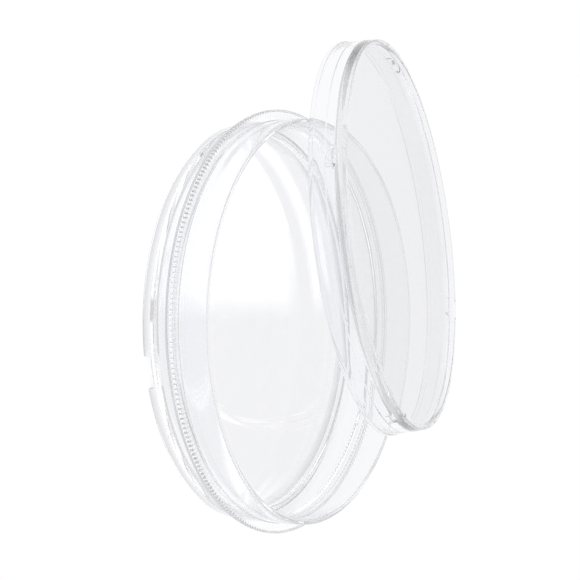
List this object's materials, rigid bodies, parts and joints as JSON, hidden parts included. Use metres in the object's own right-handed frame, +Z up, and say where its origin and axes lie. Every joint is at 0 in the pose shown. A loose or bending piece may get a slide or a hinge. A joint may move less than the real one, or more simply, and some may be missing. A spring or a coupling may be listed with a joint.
{
  "type": "petri dish",
  "caption": "Clear round culture dish with a ribbed grip ring and a stacking foot, and its loose vented lid lying open against the rim.",
  "frame": {"origin": "on the dish's axis, in the plane that its foot stands on", "axes": "+Z up along the dish's axis, out of its open mouth; +Y roughly towards the side where the lid lies open"},
  "size_m": [0.1193, 0.1371, 0.0328],
  "materials": {
    "clear_polystyrene_base": "polished transparent injection-moulded polystyrene",
    "clear_polystyrene_lid": "polished transparent injection-moulded polystyrene"
  },
  "bodies": {
    "base": {"dish_base": "clear_polystyrene_base"},
    "lid": {"lid": "clear_polystyrene_lid"}
  },
  "joints": [
    {"name": "lid_lift", "type": "slide", "parent": "base", "child": "lid", "axis": [0, 0, 1], "range_m": [0, 0.04]}
  ]
}
